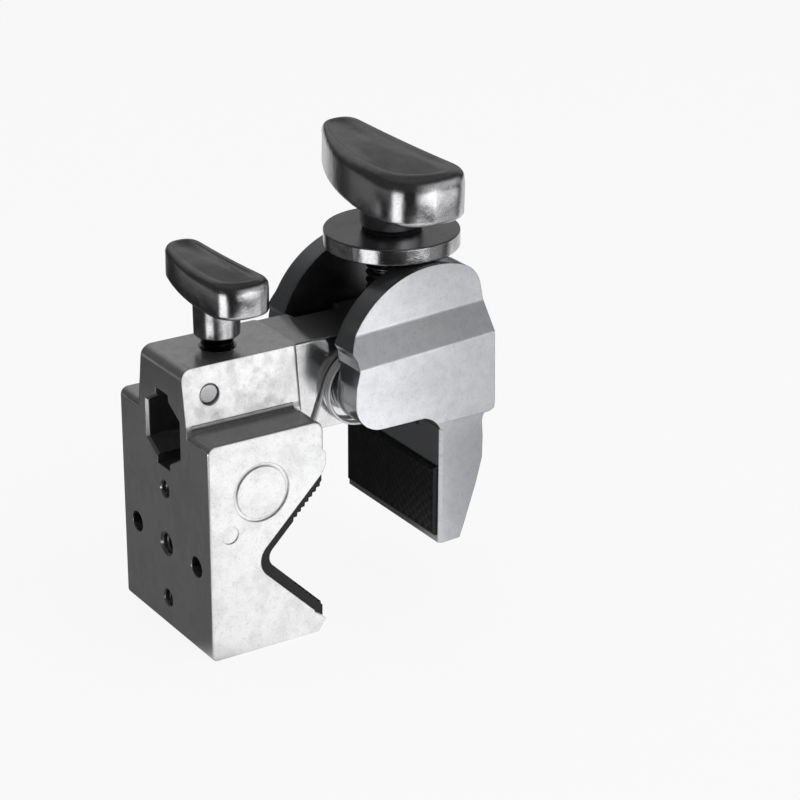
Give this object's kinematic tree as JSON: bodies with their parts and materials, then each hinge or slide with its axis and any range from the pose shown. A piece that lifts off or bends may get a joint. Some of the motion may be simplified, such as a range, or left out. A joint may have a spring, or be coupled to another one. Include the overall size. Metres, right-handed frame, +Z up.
{
  "type": "jaw clamp",
  "caption": "Cast aluminium studio grip clamp with a V jaw, a cam-closed flat jaw, a hex stud socket, and two T-handle screws.",
  "frame": {"origin": "the middle of the fixed jaw's bottom face, 15 mm in front of its back face", "axes": "+X from the fixed jaw's back face along the bar to the moving jaw, +Y along the jaw pivot, +Z up the handle screws"},
  "size_m": [0.0813, 0.0545, 0.1125],
  "materials": {
    "fixed_jaw": "blasted die casting",
    "moving_jaw": "blasted die casting",
    "v_jaw_pad": "ribbed black rubber",
    "flat_jaw_pad": "black rubber with a diamond pattern",
    "screw_insert": "machined steel",
    "torsion_spring": "spring steel wire",
    "catch_spring": "spring steel wire",
    "catch_plug": "machined aluminium",
    "pivot_pin": "ground steel",
    "press_washer": "polished dark plated steel",
    "thrust_washer": "black plastic",
    "main_handle": "polished casting",
    "main_screw": "black oxide steel thread",
    "screw_collar": "turned steel",
    "collar_pin": "spring steel",
    "lock_tip": "turned brass",
    "lock_handle": "polished casting",
    "lock_screw": "black oxide steel thread",
    "catch_pin": "turned steel"
  },
  "bodies": {
    "fixed_body": {"fixed_jaw": "fixed_jaw", "v_jaw_pad": "v_jaw_pad", "screw_insert": "screw_insert", "torsion_spring": "torsion_spring", "catch_spring": "catch_spring", "catch_plug": "catch_plug"},
    "moving_jaw_body": {"moving_jaw": "moving_jaw", "flat_jaw_pad": "flat_jaw_pad", "pivot_pin": "pivot_pin"},
    "washer_body": {"press_washer": "press_washer", "thrust_washer": "thrust_washer"},
    "main_screw_body": {"main_handle": "main_handle", "main_screw": "main_screw", "screw_collar": "screw_collar", "collar_pin": "collar_pin"},
    "lock_tip_body": {"lock_tip": "lock_tip"},
    "lock_screw_body": {"lock_handle": "lock_handle", "lock_screw": "lock_screw"},
    "catch_body": {"catch_pin": "catch_pin"}
  },
  "joints": [
    {"name": "jaw_swing", "type": "hinge", "parent": "fixed_body", "child": "moving_jaw_body", "pos_m": [0.0333, 0, 0.0573], "axis": [0, 1, 0], "range_deg": [-20.1, 42.1], "deforming": ["torsion_spring"]},
    {"name": "washer_slide", "type": "slide", "parent": "fixed_body", "child": "washer_body", "axis": [0, 0, 1], "range_m": [-0.01223, 0.00582]},
    {"name": "main_screw_turn", "type": "hinge", "parent": "washer_body", "child": "main_screw_body", "pos_m": [0.0495, 0, 0.1], "axis": [0, 0, -1], "range_deg": [-1074, 2255]},
    {"name": "lock_slide", "type": "slide", "parent": "fixed_body", "child": "lock_tip_body", "axis": [0, 0, 1], "range_m": [-0.0021, 0.00399]},
    {"name": "lock_turn", "type": "hinge", "parent": "lock_tip_body", "child": "lock_screw_body", "pos_m": [0.0003, 0, 0.08], "axis": [0, 0, -1], "range_deg": [-1020, 536]},
    {"name": "catch_press", "type": "slide", "parent": "fixed_body", "child": "catch_body", "axis": [0, 1, 0], "range_m": [0, 0.0028], "stiffness_N_per_m": 300, "springref_m": -0.003, "deforming": ["catch_spring"]}
  ],
  "couplings": [
    {"joint": "main_screw_turn", "follows": "washer_slide", "rad_per_m": -3215.8},
    {"joint": "jaw_swing", "follows": "washer_slide", "rad_per_m": -59.88},
    {"joint": "lock_turn", "follows": "lock_slide", "rad_per_m": -4452.6}
  ]
}
